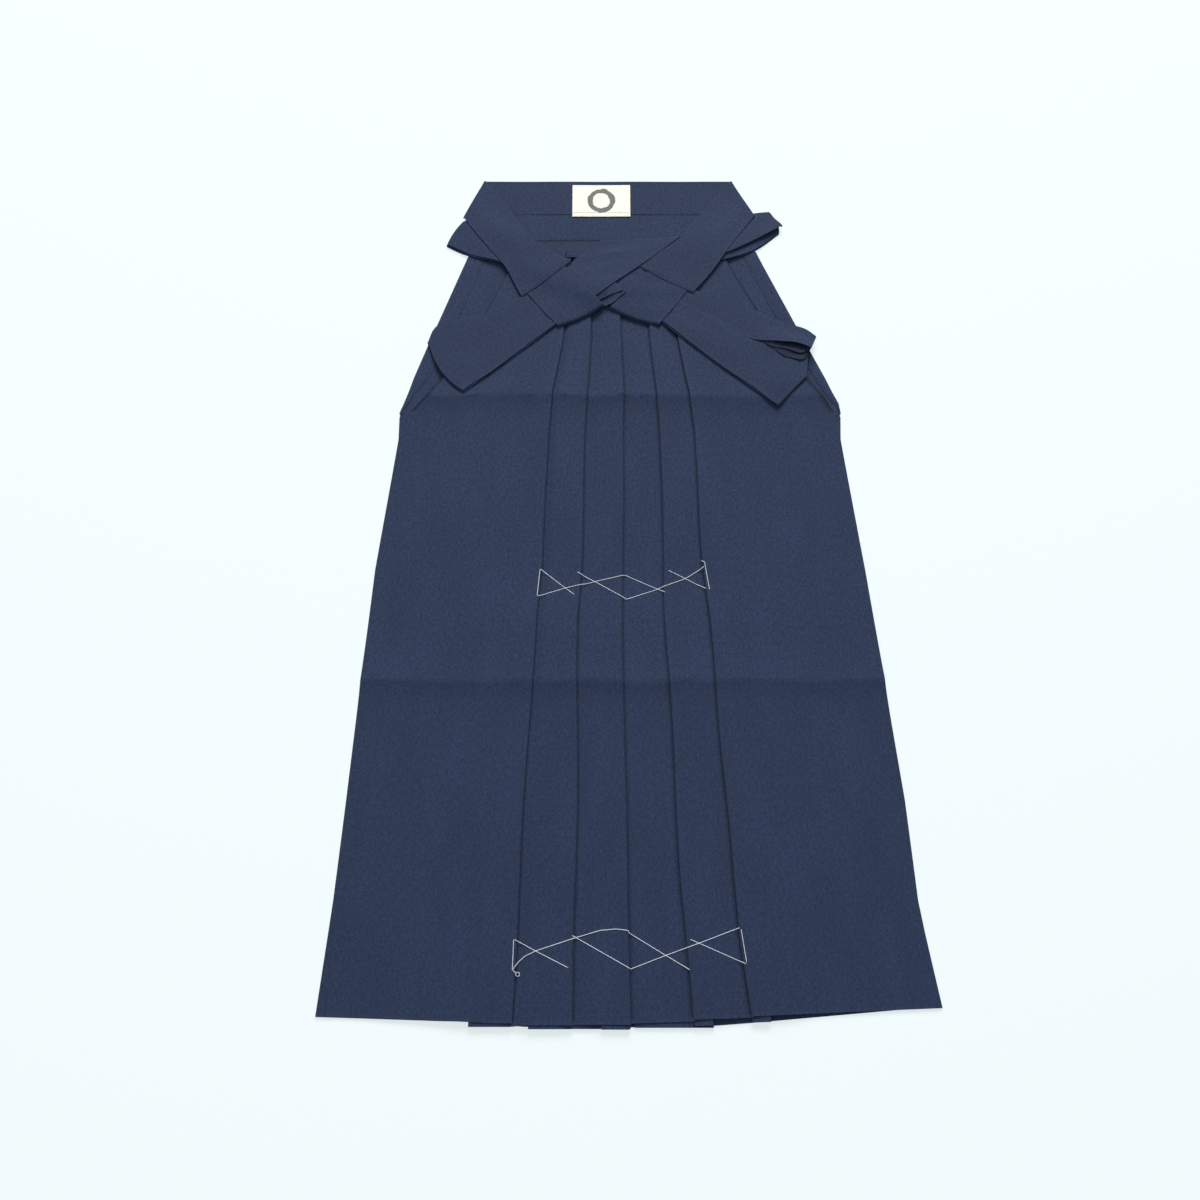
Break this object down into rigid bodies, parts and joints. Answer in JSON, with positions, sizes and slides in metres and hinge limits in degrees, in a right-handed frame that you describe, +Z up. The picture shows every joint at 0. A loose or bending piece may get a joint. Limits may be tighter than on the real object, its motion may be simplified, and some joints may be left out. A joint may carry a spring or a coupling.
{
  "type": "hakama trousers laid flat",
  "caption": "Navy pleated hakama trousers laid flat, front up, side slits open, waist ties folded and crossed over the front.",
  "frame": {"origin": "middle of the garment's box, on the surface it lies on", "axes": "+Z up from the surface, +Y from the hem to the waist, +X to the right of a viewer standing at the hem"},
  "size_m": [0.672, 1.0695, 0.018],
  "materials": {
    "navy_cloth": "matt plain-weave polyester, pressed",
    "navy_tie": "the same cloth folded and pressed into ties and waistbands",
    "cream_label": "smooth woven satin label"
  },
  "bodies": {
    "root": {"back_panel_left": "navy_cloth", "back_panel_right": "navy_cloth", "leg_gusset_left": "navy_cloth", "leg_gusset_right": "navy_cloth", "front_panel_left": "navy_cloth", "front_panel_right": "navy_cloth", "back_waistband": "navy_tie", "label": "cream_label", "front_waistband": "navy_tie", "front_tie_right_loop_under": "navy_tie", "front_tie_right_loop": "navy_tie", "front_tie_left_arm": "navy_tie", "front_tie_left_loop": "navy_tie", "front_tie_right_arm": "navy_tie", "front_tie_right_fold": "navy_tie", "wrap_right": "navy_tie", "tie_end_roll": "navy_tie", "back_tie_right": "navy_tie", "centre_turn": "navy_tie", "wrap_left": "navy_tie", "back_tie_left": "navy_tie"}
  },
  "joints": []
}
